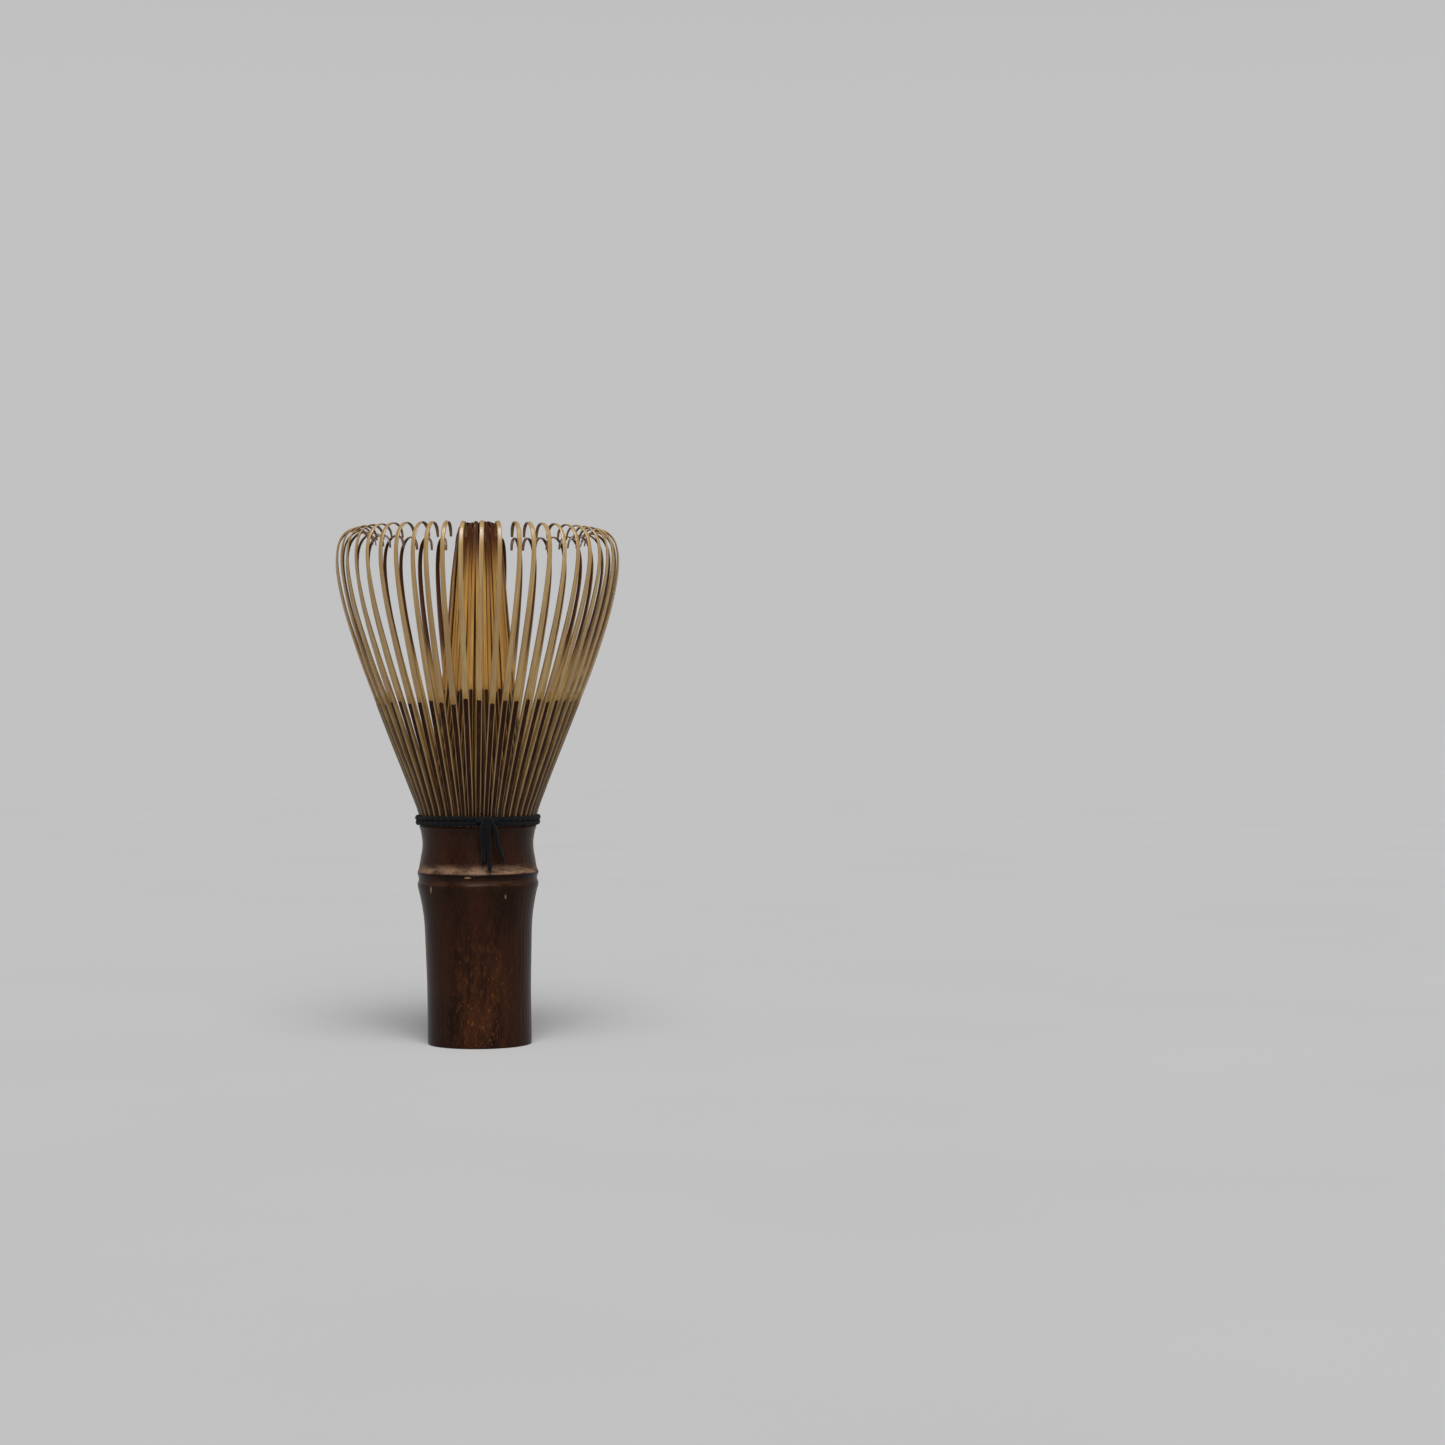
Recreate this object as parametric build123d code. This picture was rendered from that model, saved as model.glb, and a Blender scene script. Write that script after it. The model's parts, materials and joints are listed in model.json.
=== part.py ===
from build123d import *
import os
from math import hypot, sin

# Bamboo tea whisk of the coarse, dark-bamboo kind. It is cut from one length of bamboo with one node in it:
# below the node the culm stays whole and is the handle, above it the wall is split into 96 tines.
# Every second tine is bent outwards (the outer tines), the others stand together in the middle (the inner tines),
# and one black cotton thread is woven round the roots of the tines to hold the two sets apart.
#
# Frame: millimetres, +Z up, origin at the centre of the cut end that the whisk stands on.
# The knot of the thread is on the -Y side, the side that faces the user.

# ---------------------------------------------------------------- driving dimensions
TINES = 48                # outer tines, and as many inner ones between them
# The tines are split by hand, so their pitch is uneven, and each leans a little to one side.
# Azimuth of each outer tine's root, degrees from +X, outer_tine_01 first (next to the knot), then anticlockwise seen from above.
OUTER_AZIMUTH = [
    -84.9, -77.2, -70.0, -64.2, -57.7, -50.9, -43.8, -36.6, -29.1, -21.6, -14.0, -6.4, 1.3, 9.0, 16.6, 24.2,
    31.7, 39.4, 47.6, 56.0, 63.3, 70.5, 76.6, 83.7, 90.5, 97.3, 104.2, 112.6, 120.3, 129.0, 137.3, 146.8,
    156.0, 165.2, 172.9, 180.6, 188.2, 195.9, 203.6, 211.2, 218.9, 226.6, 234.2, 241.5, 248.6, 254.8, 261.4, 268.3]
# How far the tip of each one stands out of the root's own radial plane, towards the next tine in that order.
OUTER_SIDEWAYS = [
    1.1, 0.7, 1.2, 1.5, 1.6, 1.9, 1.9, 1.8, 1.6, 1.3, 1.0, 0.6, 0.2, -0.2, -0.5, -0.7,
    -0.8, -0.9, -0.8, -0.6, -0.4, -0.3, -0.1, -0.1, 0.0, 0.1, 0.2, 0.3, 0.4, 0.6, 1.4, 1.5,
    1.2, 0.9, 0.6, 0.3, 0.0, -0.3, -0.6, -0.9, -0.8, -0.8, -0.7, -0.3, 0.3, 0.0, 0.0, 0.4]
INNER_START = -131.6      # azimuth of the first inner tine; they stand at an even pitch
HANDLE_TOP = 49.2         # the wall is whole up to here
BORE_R = 9.0              # hollow of the handle, below the node
NECK_BORE_R = 10.35       # hollow above the node, where the pith has been scraped away
FLOOR_BEVEL = 0.35        # bevel round the cut end
DIAPHRAGM_Z = (35.6, 37.6)    # the wall across the culm at its node
RIDGE_LOW = (13.5, 35.9)      # sheath scar, (radius, height)
RIDGE_GROOVE = (13.26, 37.25)
RIDGE_HIGH = (13.55, 38.5)    # nodal ridge
ROOT_GAP = 0.15           # clearance between the handle's top and a tine's root
HINGE_Z = 50.6            # height at which the thread grips the tines, where they bend
HINGE_R_OUTER = 12.7
HINGE_R_INNER = 11.6
THREAD_D = 0.95           # thread, two rows of it make the woven band
TAIL_D = 1.1

# Skin side of an outer tine: radius and height from root to tip.
OUTER_SKIN = [
    (13.08, 49.35), (13.16, 50.60), (13.42, 52.10), (14.36, 54.90), (16.45, 60.40), (19.60, 68.50),
    (22.75, 76.70), (25.80, 84.70), (28.00, 91.20), (29.75, 97.00), (31.05, 102.60), (31.72, 107.40),
    (31.62, 110.95), (30.78, 113.65), (29.15, 115.38), (27.25, 115.98), (25.70, 115.58), (24.60, 114.38), (24.20, 112.70),
]
OUTER_WIDTH = [1.08, 1.08, 1.10, 1.16, 1.26, 1.34, 1.38, 1.28, 1.20, 1.13, 1.07, 1.02, 0.98, 0.95, 0.92, 0.88, 0.84, 0.76, 0.60]
OUTER_THICK = [0.85, 0.85, 0.82, 0.90, 1.02, 1.05, 0.98, 0.84, 0.70, 0.58, 0.50, 0.45, 0.42, 0.39, 0.37, 0.35, 0.33, 0.31, 0.27]
OUTER_BEVEL = 0.16        # the skin side is this much narrower along each edge

# Skin side of an inner tine.
INNER_SKIN = [
    (11.85, 49.35), (11.78, 50.60), (11.50, 53.00), (11.05, 57.00), (10.15, 64.50), (9.20, 72.00),
    (8.30, 79.60), (7.40, 89.00), (6.55, 98.50), (5.85, 107.00), (5.45, 112.60), (5.10, 115.40), (4.45, 117.10), (3.65, 117.75),
]
INNER_WIDTH = [0.66, 0.66, 0.72, 0.80, 0.88, 0.90, 0.86, 0.78, 0.68, 0.60, 0.55, 0.49, 0.42, 0.34]
INNER_THICK = [0.60, 0.60, 0.56, 0.52, 0.50, 0.48, 0.45, 0.42, 0.40, 0.37, 0.34, 0.31, 0.28, 0.25]
INNER_BEVEL = 0.06


def uneven(n, k):
    """A fixed number from -1 to 1 for tine n: hand-split tines are never quite alike."""
    v = sin(n * 12.9898 + k * 78.233) * 43758.5453
    return 2.0 * (v - int(v) if v >= 0 else v - int(v) + 1.0) - 1.0


def tine(skin, widths, thicknesses, bevel, sideways, lean, pivot):
    """One tine standing in the XZ plane: a strip whose skin side follows the given points.
    sideways is how far its tip stands out of that plane; lean, in degrees, tips it about its pivot."""
    line = Spline(*[(r, 0, z) for r, z in skin], tangents=[(0.02, 0, 1), (skin[-1][0] - skin[-2][0], 0, skin[-1][1] - skin[-2][1])])
    total = sum(hypot(b[0] - a[0], b[1] - a[1]) for a, b in zip(skin, skin[1:]))
    gone, sections = 0.0, []
    for n, (r, z) in enumerate(skin):
        if n:
            gone += hypot(r - skin[n - 1][0], z - skin[n - 1][1])
        along = gone / total
        t = line % line.param_at_point((r, 0, z))
        out = Vector(t.Z, 0, -t.X)          # points out through the skin
        y = sideways * along ** 1.6
        w, d = widths[n] / 2, thicknesses[n]
        p = Vector(r, y, z)
        corners = [p + Vector(0, w - bevel, 0), p + Vector(0, -w + bevel, 0), p - out * d + Vector(0, -w, 0), p - out * d + Vector(0, w, 0)]
        sections.append(Face(Wire.make_polygon(corners, close=True)))
    strip = Solid.make_loft([s.outer_wire() for s in sections], ruled=False)
    return strip.rotate(Axis((pivot, 0, HINGE_Z), (0, 1, 0)), lean)


def turned(shape, azimuth):
    return shape.rotate(Axis.Z, azimuth)


# ---------------------------------------------------------------- handle: the culm wall, with the node's two ridges
with BuildPart() as handle:
    with BuildSketch(Plane.XZ):
        with BuildLine():
            Line((BORE_R + 0.25, 0), (11.6 - FLOOR_BEVEL, 0))
            Line((11.6 - FLOOR_BEVEL, 0), (11.6, FLOOR_BEVEL))
            Spline((11.6, FLOOR_BEVEL), (11.6, 5), (11.62, 14), (11.85, 22), (12.2, 29), (12.75, 32.5), (13.15, 34.2), RIDGE_LOW,
                   tangents=[(0, 1), (0.0, 1)])
            Spline(RIDGE_LOW, (13.40, 36.65), RIDGE_GROOVE, (13.38, 37.9), RIDGE_HIGH, tangents=[(0, 1), (0.3, 1)])
            Spline(RIDGE_HIGH, (13.22, 39.7), (12.78, 41.9), (12.45, 43.9), (12.42, 45.9), (12.65, 47.4), (12.98, 48.6), (13.12, HANDLE_TOP),
                   tangents=[(-0.5, 1), (0.22, 1)])
            Line((13.12, HANDLE_TOP), (NECK_BORE_R, HANDLE_TOP))
            Line((NECK_BORE_R, HANDLE_TOP), (NECK_BORE_R, 40.0))
            Line((NECK_BORE_R, 40.0), (BORE_R, 38.4))
            Line((BORE_R, 38.4), (BORE_R, 0.25))
            Line((BORE_R, 0.25), (BORE_R + 0.25, 0))
        make_face()
    revolve(axis=Axis.Z)

# ---------------------------------------------------------------- node diaphragm: slightly domed wall across the culm
with BuildPart() as diaphragm:
    z0, z1 = DIAPHRAGM_Z
    rim = BORE_R - 0.01
    with BuildSketch(Plane.XZ):
        with BuildLine():
            Line((0, z0 + 0.5), (0, z1 - 0.55))
            Spline((0, z1 - 0.55), (rim, z1), tangents=[(1, 0), (1, 0.14)])
            Line((rim, z1), (rim, z0))
            Spline((rim, z0), (0, z0 + 0.5), tangents=[(-1, 0.14), (-1, 0)])
        make_face()
    revolve(axis=Axis.Z)


# ---------------------------------------------------------------- thread: woven band, knot and tails
def band(r, z, width, height):
    """A ring of thread lying against the tines, flattened by its own tension."""
    with BuildPart() as ring:
        with BuildSketch(Plane.XZ):
            with Locations((r, z)):
                RectangleRounded(width, height, min(width, height) * 0.45)
        revolve(axis=Axis.Z)
    return ring.part


lower_weave = band(13.72, 50.06, 0.64, 1.00)
upper_weave = band(13.92, 51.12, 0.60, 1.00)
inner_weave = band(12.06, 51.70, 0.28, 1.00)   # the passes that run behind the outer tines

KNOT = (3.50, -14.93, 51.05)
with BuildPart() as knot:
    with Locations(Location(KNOT, (0, 62, 0))):
        Torus(0.62, 0.46)
    with Locations(Location((KNOT[0] + 0.05, KNOT[1] - 0.12, KNOT[2] - 0.1), (0, 0, 25))):
        Sphere(0.66)


def strand(points, radii):
    route = FilletPolyline(*points, radius=radii)
    return sweep((route ^ 0) * Circle(TAIL_D / 2), path=route)


# Three short strands hang from the knot in front of the neck; two of them lie side by side.
left_a = strand([(2.36, -14.87, 49.60), (2.30, -14.37, 46.60), (2.42, -14.02, 43.90), (2.36, -13.98, 41.20)], [9, 9])
left_b = strand([(3.62, -14.85, 49.55), (3.68, -14.32, 46.20), (3.84, -13.98, 42.90), (3.88, -13.92, 39.55)], [9, 9])
right_a = strand([(4.95, -14.62, 49.75), (5.32, -14.02, 47.00), (6.06, -13.50, 44.20), (6.98, -13.12, 41.30)], [9, 9])

# ---------------------------------------------------------------- tines
outer, inner = [], []
for n, azimuth in enumerate(OUTER_AZIMUTH):
    nominal = tine(OUTER_SKIN, OUTER_WIDTH, OUTER_THICK, OUTER_BEVEL, OUTER_SIDEWAYS[n], 0.35 * uneven(n, 2), HINGE_R_OUTER)
    outer.append(turned(nominal, azimuth))
for n in range(TINES):
    nominal = tine(INNER_SKIN, INNER_WIDTH, INNER_THICK, INNER_BEVEL, 0.03 * uneven(n, 3), 0.12 * uneven(n, 4), HINGE_R_INNER)
    inner.append(turned(nominal, INNER_START + 360.0 * n / TINES))

# The inner tines are four quarters of the bundle.
quarters = {side: inner[12 * k:12 * k + 12] for k, side in enumerate(["front", "right", "back", "left"])}

# ---------------------------------------------------------------- write one file per piece
nodes = {
    "handle": handle.part,
    "node_diaphragm": diaphragm.part,
    "thread_lower_weave": lower_weave,
    "thread_upper_weave": upper_weave,
    "thread_inner_weave": inner_weave,
    "thread_knot": knot.part,
    "thread_tail_left": Compound([left_a.solid(), left_b.solid()]),
    "thread_tail_right": right_a,
}
for n, solid in enumerate(outer):
    nodes["outer_tine_%02d" % (n + 1)] = solid
for side, solids in quarters.items():
    nodes["inner_tines_" + side] = Compound(solids)

os.makedirs("parts", exist_ok=True)
for name, shape in nodes.items():
    export_step(shape, "parts/" + name + ".step")
print(len(OUTER_AZIMUTH), len(OUTER_SIDEWAYS), len(nodes), "nodes;", {s: len(v) for s, v in quarters.items()})
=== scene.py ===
import bpy, json, math, random
import numpy as np
from mathutils import Matrix, Vector


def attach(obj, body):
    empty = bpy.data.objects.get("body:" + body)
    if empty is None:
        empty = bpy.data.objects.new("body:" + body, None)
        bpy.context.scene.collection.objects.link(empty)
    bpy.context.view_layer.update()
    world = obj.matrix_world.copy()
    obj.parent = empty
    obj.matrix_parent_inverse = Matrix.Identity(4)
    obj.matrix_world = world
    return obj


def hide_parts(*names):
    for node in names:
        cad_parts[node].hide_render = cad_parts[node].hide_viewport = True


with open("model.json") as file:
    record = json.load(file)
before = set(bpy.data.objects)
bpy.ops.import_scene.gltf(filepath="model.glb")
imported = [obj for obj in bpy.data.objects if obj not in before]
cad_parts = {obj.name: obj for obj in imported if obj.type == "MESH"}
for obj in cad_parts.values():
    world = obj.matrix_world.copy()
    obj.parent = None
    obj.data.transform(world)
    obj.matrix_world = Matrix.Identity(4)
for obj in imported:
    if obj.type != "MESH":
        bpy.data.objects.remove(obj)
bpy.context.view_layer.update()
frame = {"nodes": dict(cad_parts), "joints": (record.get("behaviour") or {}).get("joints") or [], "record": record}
MM = 0.001
rng = np.random.default_rng(20240611)
record = frame["record"]
joints = {j["child"]: j for j in frame["joints"]}

# ------------------------------------------------------------------ shapes shared with the CAD model (millimetres)
HINGE_Z = 50.6
OUTER_SKIN = [(13.08, 49.35), (13.16, 50.60), (13.42, 52.10), (14.36, 54.90), (16.45, 60.40), (19.60, 68.50),
              (22.75, 76.70), (25.80, 84.70), (28.00, 91.20), (29.75, 97.00), (31.05, 102.60), (31.72, 107.40),
              (31.62, 110.95), (30.78, 113.65), (29.15, 115.38), (27.25, 115.98), (25.70, 115.58), (24.60, 114.38), (24.20, 112.70)]
OUTER_WIDTH = [1.08, 1.08, 1.10, 1.16, 1.26, 1.34, 1.38, 1.28, 1.20, 1.13, 1.07, 1.02, 0.98, 0.95, 0.92, 0.88, 0.84, 0.76, 0.60]
OUTER_SIDEWAYS = [1.1, 0.7, 1.2, 1.5, 1.6, 1.9, 1.9, 1.8, 1.6, 1.3, 1.0, 0.6, 0.2, -0.2, -0.5, -0.7,
                  -0.8, -0.9, -0.8, -0.6, -0.4, -0.3, -0.1, -0.1, 0.0, 0.1, 0.2, 0.3, 0.4, 0.6, 1.4, 1.5,
                  1.2, 0.9, 0.6, 0.3, 0.0, -0.3, -0.6, -0.9, -0.8, -0.8, -0.7, -0.3, 0.3, 0.0, 0.0, 0.4]
INNER_START = -131.6
OUTER_THICK = [0.85, 0.85, 0.82, 0.90, 1.02, 1.05, 0.98, 0.84, 0.70, 0.58, 0.50, 0.45, 0.42, 0.39, 0.37, 0.35, 0.33, 0.31, 0.27]
INNER_SKIN = [(11.85, 49.35), (11.78, 50.60), (11.50, 53.00), (11.05, 57.00), (10.15, 64.50), (9.20, 72.00),
              (8.30, 79.60), (7.40, 89.00), (6.55, 98.50), (5.85, 107.00), (5.45, 112.60), (5.10, 115.40), (4.45, 117.10), (3.65, 117.75)]
INNER_WIDTH = [0.66, 0.66, 0.72, 0.80, 0.88, 0.90, 0.86, 0.78, 0.70, 0.64, 0.60, 0.54, 0.46, 0.36]
INNER_THICK = [0.60, 0.60, 0.56, 0.52, 0.50, 0.48, 0.45, 0.42, 0.40, 0.37, 0.34, 0.31, 0.28, 0.25]


def uneven(n, k):
    v = math.sin(n * 12.9898 + k * 78.233) * 43758.5453
    return 2.0 * (v - int(v) if v >= 0 else v - int(v) + 1.0) - 1.0


def cubic(xs, ys, at):
    """Natural cubic spline through (xs, ys), read at the given places."""
    xs, ys, at = np.asarray(xs, float), np.asarray(ys, float), np.asarray(at, float)
    n, h = len(xs), np.diff(xs)
    A, b = np.eye(n), np.zeros(n)
    for i in range(1, n - 1):
        A[i, i - 1:i + 2] = h[i - 1], 2 * (h[i - 1] + h[i]), h[i]
        b[i] = 6 * ((ys[i + 1] - ys[i]) / h[i] - (ys[i] - ys[i - 1]) / h[i - 1])
    m = np.linalg.solve(A, b)
    i = np.clip(np.searchsorted(xs, at) - 1, 0, n - 2)
    d, e = xs[i + 1] - at, at - xs[i]
    return (m[i] * d ** 3 + m[i + 1] * e ** 3) / (6 * h[i]) + (ys[i] / h[i] - m[i] * h[i] / 6) * d + (ys[i + 1] / h[i] - m[i + 1] * h[i] / 6) * e


def chord(points):
    p = np.asarray(points, float)
    return np.concatenate([[0], np.cumsum(np.linalg.norm(np.diff(p, axis=0), axis=1))])


# ------------------------------------------------------------------ mesh helpers
def new_mesh(name, verts, faces, mats, face_mat=None, smooth=True, attrs=None, sharp=None):
    me = bpy.data.meshes.new(name)
    me.from_pydata([tuple(v) for v in verts], [], [tuple(int(i) for i in f) for f in faces])
    for m in mats:
        me.materials.append(m)
    if face_mat is not None:
        me.polygons.foreach_set("material_index", np.asarray(face_mat, np.int32))
    me.polygons.foreach_set("use_smooth", np.full(len(me.polygons), smooth))
    for key, values in (attrs or {}).items():
        a = me.attributes.new(key, "FLOAT_VECTOR", "POINT")
        a.data.foreach_set("vector", np.asarray(values, np.float32).ravel())
    if sharp is not None and len(sharp):
        wanted = {tuple(sorted(e)) for e in sharp}
        flags = np.array([tuple(sorted(e.vertices)) in wanted for e in me.edges], bool)
        a = me.attributes.new("sharp_edge", "BOOLEAN", "EDGE")
        a.data.foreach_set("value", flags)
    me.validate()
    me.update()
    o = bpy.data.objects.new(name, me)
    bpy.context.scene.collection.objects.link(o)
    return o


# ------------------------------------------------------------------ node helpers
class Mat:
    def __init__(self, name):
        self.m = bpy.data.materials.new(name)
        self.m.use_nodes = True
        self.nt = self.m.node_tree
        self.nt.nodes.clear()
        self.out = self.nt.nodes.new("ShaderNodeOutputMaterial")
        self.b = self.nt.nodes.new("ShaderNodeBsdfPrincipled")
        self.nt.links.new(self.b.outputs[0], self.out.inputs[0])

    def n(self, kind, **props):
        node = self.nt.nodes.new(kind)
        for k, v in props.items():
            setattr(node, k, v)
        return node

    def put(self, socket, value):
        if isinstance(value, bpy.types.NodeSocket):
            self.nt.links.new(value, socket)
        elif value is not None:
            socket.default_value = value

    def math(self, op, a, b=0.0, c=None, clamp=False):
        n = self.n("ShaderNodeMath", operation=op, use_clamp=clamp)
        self.put(n.inputs[0], a); self.put(n.inputs[1], b)
        if c is not None:
            self.put(n.inputs[2], c)
        return n.outputs[0]

    def mix(self, f, a, b, blend="MIX"):
        n = self.n("ShaderNodeMix", data_type="RGBA", blend_type=blend)
        self.put(n.inputs[0], f); self.put(n.inputs[6], a); self.put(n.inputs[7], b)
        return n.outputs[2]

    def ramp(self, v, lo, hi, a=0.0, b=1.0, smooth=True):
        n = self.n("ShaderNodeMapRange", interpolation_type="SMOOTHSTEP" if smooth else "LINEAR")
        self.put(n.inputs[0], v); self.put(n.inputs[1], lo); self.put(n.inputs[2], hi); self.put(n.inputs[3], a); self.put(n.inputs[4], b)
        return n.outputs[0]

    def noise(self, vec, scale=1.0, detail=3.0, rough=0.55, distort=0.0):
        n = self.n("ShaderNodeTexNoise")
        self.put(n.inputs["Vector"], vec); n.inputs["Scale"].default_value = scale; n.inputs["Detail"].default_value = detail
        n.inputs["Roughness"].default_value = rough; n.inputs["Distortion"].default_value = distort
        return n.outputs[0]

    def scaled(self, vec, s, shift=(0, 0, 0)):
        n = self.n("ShaderNodeMapping")
        self.put(n.inputs["Vector"], vec); n.inputs["Scale"].default_value = s; n.inputs["Location"].default_value = shift
        return n.outputs[0]

    def attr(self, name):
        return self.n("ShaderNodeAttribute", attribute_name=name).outputs["Vector"]

    def split(self, vec):
        n = self.n("ShaderNodeSeparateXYZ"); self.put(n.inputs[0], vec)
        return n.outputs[0], n.outputs[1], n.outputs[2]

    def bump(self, height, strength=0.3, distance=0.0001, under=None):
        n = self.n("ShaderNodeBump")
        self.put(n.inputs["Height"], height); n.inputs["Strength"].default_value = strength; n.inputs["Distance"].default_value = distance
        if under is not None:
            self.put(n.inputs["Normal"], under)
        return n.outputs[0]

    def finish(self, color=None, rough=0.5, normal=None, spec=0.5, coat=0.0, coat_rough=0.2, sheen=0.0, sheen_rough=0.5):
        b = self.b
        self.put(b.inputs["Base Color"], color); self.put(b.inputs["Roughness"], rough); self.put(b.inputs["Normal"], normal)
        b.inputs["Specular IOR Level"].default_value = spec
        b.inputs["Coat Weight"].default_value = coat; b.inputs["Coat Roughness"].default_value = coat_rough
        b.inputs["Sheen Weight"].default_value = sheen; b.inputs["Sheen Roughness"].default_value = sheen_rough
        return self.m


def rgb(r, g, b):
    """sRGB 0..255 to a linear colour."""
    f = lambda v: (v / 255 / 12.92) if v / 255 <= 0.04045 else ((v / 255 + 0.055) / 1.055) ** 2.4
    return (f(r), f(g), f(b), 1.0)


# ------------------------------------------------------------------ materials
def grain(k, strip, base, dark, pale):
    """Lengthwise fibres. strip = (mm across, mm along, a number of the tine's own)."""
    fibre = k.noise(k.scaled(strip, (9.0, 0.10, 3.1)), 1.0, 4.0, 0.6)
    fine = k.noise(k.scaled(strip, (26.0, 0.35, 5.7)), 1.0, 2.0, 0.5)
    broad = k.noise(k.scaled(strip, (0.6, 0.05, 1.7)), 1.0, 2.0, 0.5)
    c = k.mix(k.ramp(fibre, 0.28, 0.72), dark, base)
    c = k.mix(k.ramp(fine, 0.50, 0.80, 0.0, 0.5), c, pale)
    c = k.mix(k.ramp(broad, 0.38, 0.72, 0.0, 0.55), c, dark)
    return fibre, fine, c


def flesh_material(name, base, dark, pale, low, low_shade_z, inner_shade_colour, inner_shade_z, tip, length, skin_side=None, edge=0.0, gloss=(0.6, 0.35)):
    """Split bamboo. face = (1 on the inner side, height in mm, the tine's own fixed number).
    With skin_side the outer face of the tine is meant: dark skin up to where it has been shaved off."""
    k = Mat(name)
    strip, face = k.attr("strip"), k.attr("face")
    inner, z, rnd = k.split(face)
    across, along, number = k.split(strip)
    fibre, fine, c = grain(k, strip, base, dark, pale)
    c = k.mix(k.ramp(rnd, 0.0, 1.0, 0.0, 0.45), c, dark)
    # the lower half is darker and browner: partly a browner tone of the cut sides, partly painted shade
    below = k.ramp(z, low_shade_z - 1.5, low_shade_z + 1.0, 1.0, 0.0)
    c = k.mix(k.math("MULTIPLY", below, 0.85), c, k.mix(k.ramp(fibre, 0.35, 0.70), low, k.mix(0.70, low, base)))
    # darker towards the root
    c = k.mix(k.math("MULTIPLY", k.ramp(z, 50.0, 66.0, 1.0, 0.0), 0.50), c, rgb(48, 28, 14))
    # painted shade: the inner side of the upper half is darkened
    inner_shade_mask = k.math("MULTIPLY", inner, k.ramp(z, *inner_shade_z))
    c = k.mix(k.math("MULTIPLY", inner_shade_mask, k.ramp(fine, 0.3, 0.8, 1.0, 0.90)), c, inner_shade_colour)
    # the outer side darkens towards the hooked tip, the inner side pales again there
    c = k.mix(k.math("MULTIPLY", k.math("SUBTRACT", 1.0, inner), k.ramp(along, length - 6.8, length - 3.6, 0.0, 0.92)), c, tip)
    c = k.mix(k.math("MULTIPLY", inner, k.ramp(along, length - 6.5, length - 2.0, 0.0, 0.55)), c, k.mix(0.5, base, tip))
    specks = k.noise(k.scaled(strip, (14.0, 0.9, 2.3)), 1.0, 2.0, 0.5)
    c = k.mix(k.ramp(specks, 0.68, 0.78, 0.0, 0.4), c, rgb(80, 46, 22))
    rough = k.ramp(fibre, 0.2, 0.8, 0.44, 0.32, False)
    if skin_side:
        skin, skin_light = skin_side
        mott = k.noise(k.scaled(strip, (1.6, 0.28, 4.1)), 1.0, 4.0, 0.65)
        streak = k.noise(k.scaled(strip, (7.0, 0.07, 9.1)), 1.0, 3.0, 0.6)
        lowc = k.mix(k.ramp(mott, 0.50, 0.78, 0.0, 0.75), skin, skin_light)
        lowc = k.mix(k.ramp(streak, 0.56, 0.78, 0.0, 0.6), lowc, skin_light)
        ragged = k.noise(k.scaled(strip, (5.0, 0.0, 7.7)), 1.0, 2.0, 0.5)
        own = k.math("MULTIPLY", k.math("SUBTRACT", rnd, 0.5), 1.4)
        cut = k.math("ADD", k.math("ADD", along, own), k.math("MULTIPLY", k.math("SUBTRACT", ragged, 0.5), 1.2))
        above = k.ramp(cut, edge - 0.10, edge + 0.10)
        c = k.mix(above, lowc, c)
        seam = k.math("MULTIPLY", k.ramp(cut, edge - 0.1, edge + 0.2), k.ramp(cut, edge + 0.2, edge + 1.6, 1.0, 0.0))
        c = k.mix(k.math("MULTIPLY", seam, 0.35), c, rgb(120, 78, 40))
        rough = k.mix(above, (0.40, 0.40, 0.40, 1), (0.44, 0.44, 0.44, 1))
    normal = k.bump(fibre, 0.35, 0.00006)
    return k.finish(c, rough, normal, spec=gloss[0], coat=gloss[1], coat_rough=0.22)


STRAW, STRAW_DARK, STRAW_PALE = rgb(188, 158, 100), rgb(140, 106, 58), rgb(220, 196, 142)
SKIN, SKIN_LIGHT = rgb(38, 17, 8), rgb(88, 54, 28)
# the middle colour on the next line is painted shade for the upper inner faces; the first is the lower half's colour,
# partly painted shade
LOW_SHADED, INNER_SHADE, TIP = rgb(118, 86, 48), rgb(58, 24, 11), rgb(80, 42, 22)
EDGE, LENGTH = 29.4, 0.0
OUTER_LEN, INNER_LEN = chord(OUTER_SKIN)[-1], 69.5
flesh = flesh_material("split_bamboo", STRAW, STRAW_DARK, STRAW_PALE, LOW_SHADED, 78.0, INNER_SHADE, (82.0, 93.0), TIP, OUTER_LEN)
outer_skin = flesh_material("tine_skin", STRAW, STRAW_DARK, STRAW_PALE, STRAW, 30.0, INNER_SHADE, (82.0, 93.0), TIP, OUTER_LEN, (SKIN, SKIN_LIGHT), EDGE, (0.07, 0.03))
flesh_inside = flesh_material("split_bamboo_inside", STRAW, STRAW_DARK, STRAW_PALE, LOW_SHADED, 78.0, INNER_SHADE, (82.0, 93.0), TIP, OUTER_LEN, gloss=(0.10, 0.0))
HONEY, HONEY_DARK, HONEY_PALE = rgb(204, 158, 84), rgb(150, 104, 48), rgb(228, 190, 120)
TIP_BROWN = rgb(70, 36, 14)
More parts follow.
